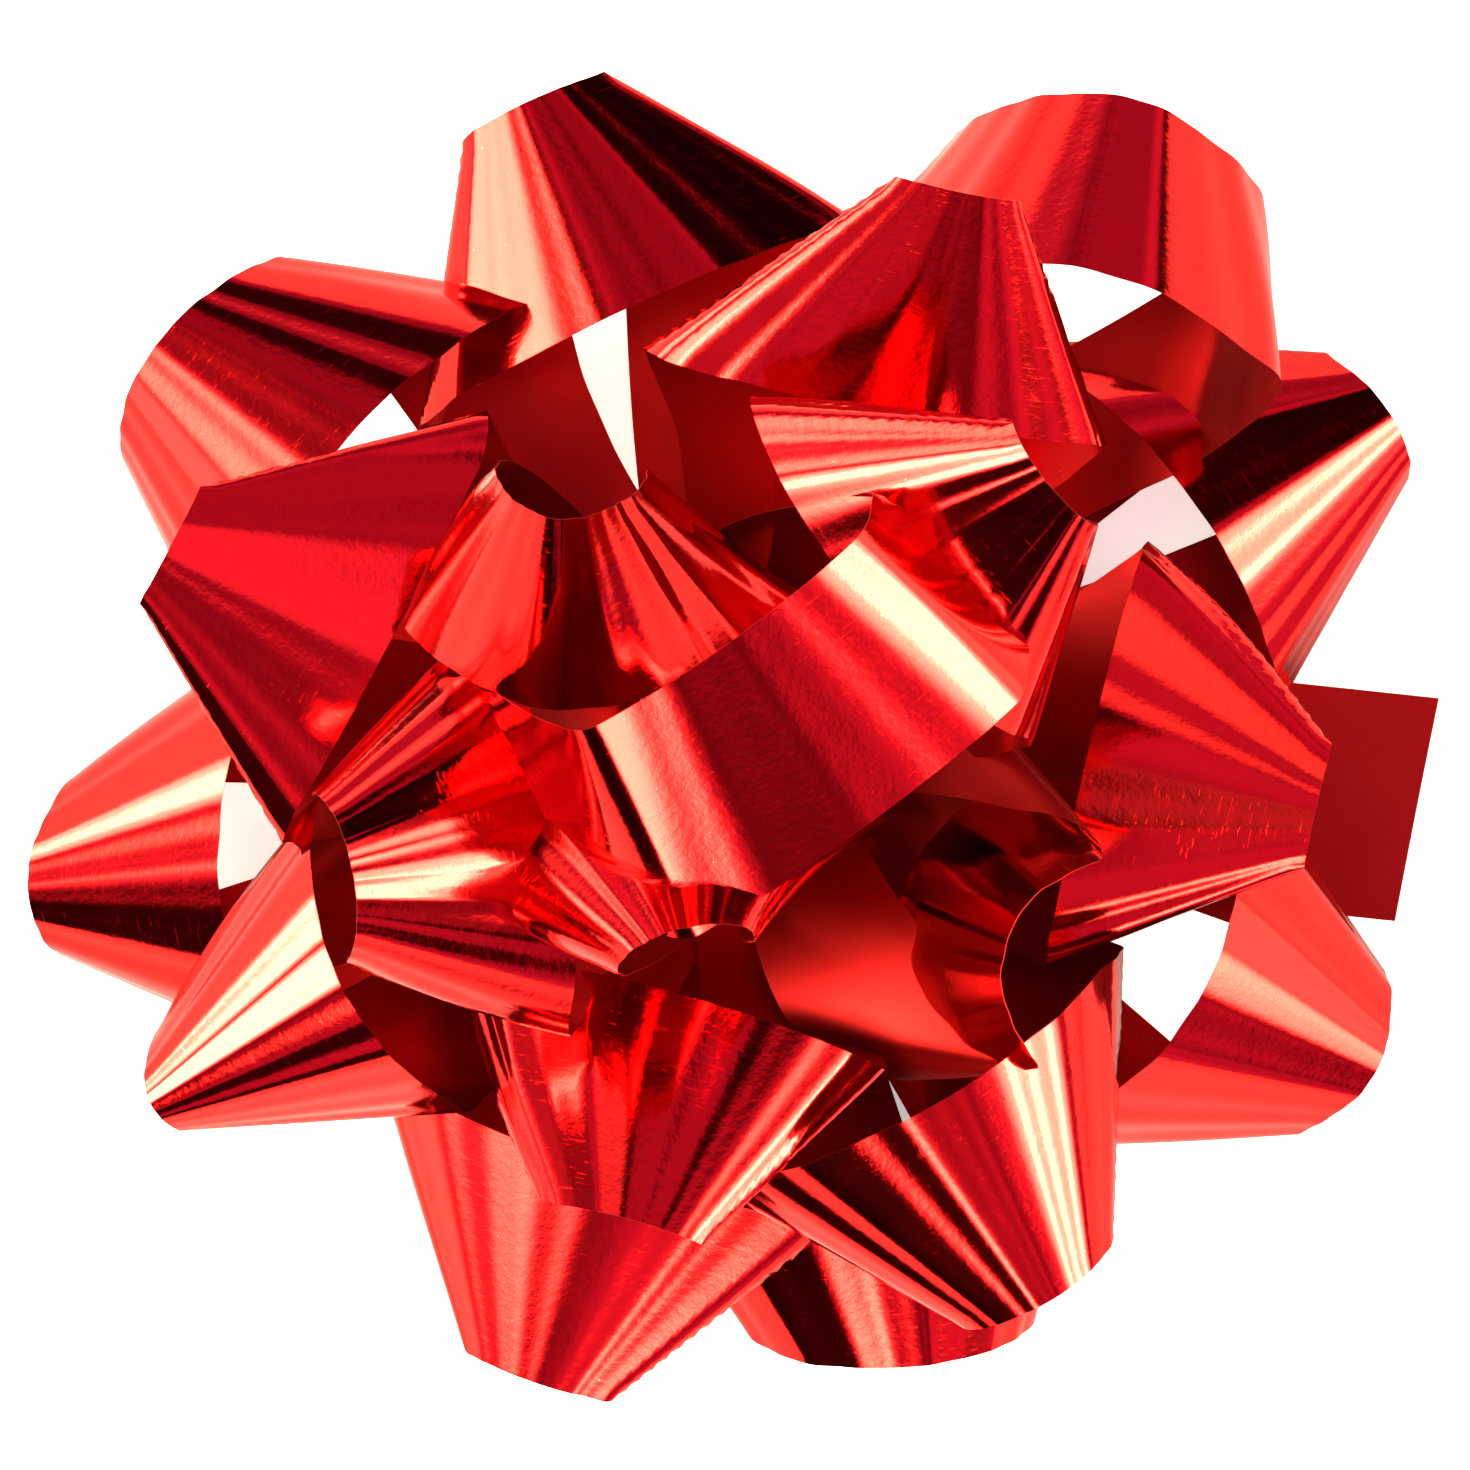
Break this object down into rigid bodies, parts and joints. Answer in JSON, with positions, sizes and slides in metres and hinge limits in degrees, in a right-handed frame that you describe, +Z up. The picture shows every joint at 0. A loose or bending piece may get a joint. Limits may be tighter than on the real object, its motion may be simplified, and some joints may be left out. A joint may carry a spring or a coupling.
{
  "type": "gift bow",
  "caption": "Pre-made star gift bow of glossy red film ribbon in tiers of pointed loops with a loose tail, stapled to a card with an adhesive pad and a peel-off liner.",
  "frame": {"origin": "centre of the release liner's bottom face, under the staple, on the surface that the bow stands on", "axes": "+Z up out of the bow's base, +X towards the ribbon's cut end, and the liner's finger tab points to -Y"},
  "size_m": [0.1199, 0.1128, 0.0616],
  "materials": {
    "red_film": "metallised polypropylene film, mirror red outside and plain satin dark red inside",
    "staple_wire": "bright steel wire",
    "base_card": "uncoated white card",
    "foam_pad": "closed-cell foam with adhesive on both faces",
    "liner_paper": "silicone-coated release paper"
  },
  "bodies": {
    "bow": {"lower_loop_1": "red_film", "lower_loop_2": "red_film", "lower_loop_3": "red_film", "lower_loop_4": "red_film", "lower_loop_5": "red_film", "lower_loop_6": "red_film", "lower_loop_7": "red_film", "lower_loop_8": "red_film", "middle_loop_1": "red_film", "middle_loop_2": "red_film", "middle_loop_3": "red_film", "middle_loop_4": "red_film", "middle_loop_5": "red_film", "middle_loop_6": "red_film", "inner_loop_1": "red_film", "inner_loop_2": "red_film", "inner_loop_3": "red_film", "inner_loop_4": "red_film", "inner_loop_5": "red_film", "centre_loop": "red_film", "ribbon_core": "red_film", "staple": "staple_wire", "base_card": "base_card", "adhesive_pad": "foam_pad"},
    "tail": {"ribbon_tail": "red_film"},
    "liner": {"release_liner": "liner_paper"}
  },
  "joints": [
    {"name": "liner_peel", "type": "slide", "parent": "bow", "child": "liner", "axis": [0, -1, 0], "range_m": [0, 0.06]},
    {"name": "tail_droop", "type": "hinge", "parent": "bow", "child": "tail", "pos_m": [0.00945, -0.00099, 0.0036], "axis": [0.1045, 0.9945, 0], "range_deg": [0, 2.5], "stiffness_Nm_per_rad": 0.02}
  ]
}
